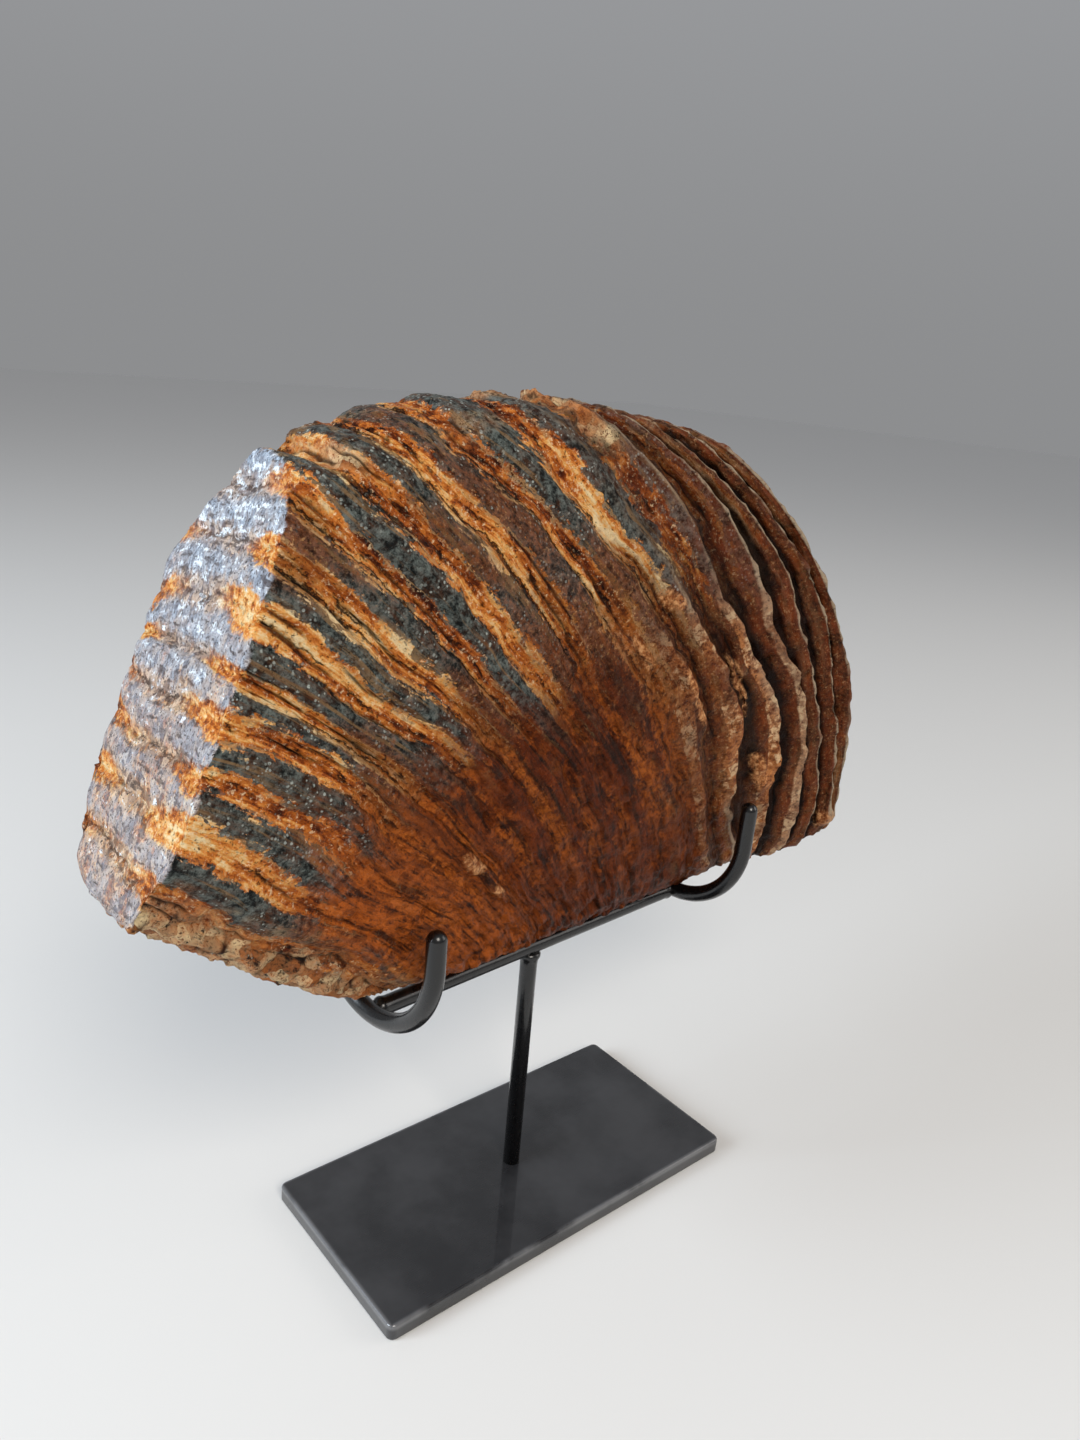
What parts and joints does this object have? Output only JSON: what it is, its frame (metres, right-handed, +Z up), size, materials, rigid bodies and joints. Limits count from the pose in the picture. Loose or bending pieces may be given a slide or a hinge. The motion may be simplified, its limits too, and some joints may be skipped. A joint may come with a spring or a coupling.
{
  "type": "fossil mammoth tooth on a display stand",
  "caption": "Fossil mammoth molar with fanned, banded plates and a flat chewing facet, resting in the hooks of a black steel display stand.",
  "frame": {"origin": "centre of the base plate's underside", "axes": "+Z up, +X along the base plate's long side towards the tooth's unworn end, -Y towards the side that the picture shows"},
  "size_m": [0.299, 0.0815, 0.2771],
  "materials": {
    "fossil": "polished and varnished, banded",
    "plate_paint": "satin black",
    "rod_paint": "gloss black"
  },
  "bodies": {
    "root": {"tooth": "fossil", "base_plate": "plate_paint", "post": "rod_paint", "crossbar": "rod_paint", "left_hook": "rod_paint", "right_hook": "rod_paint"}
  },
  "joints": []
}
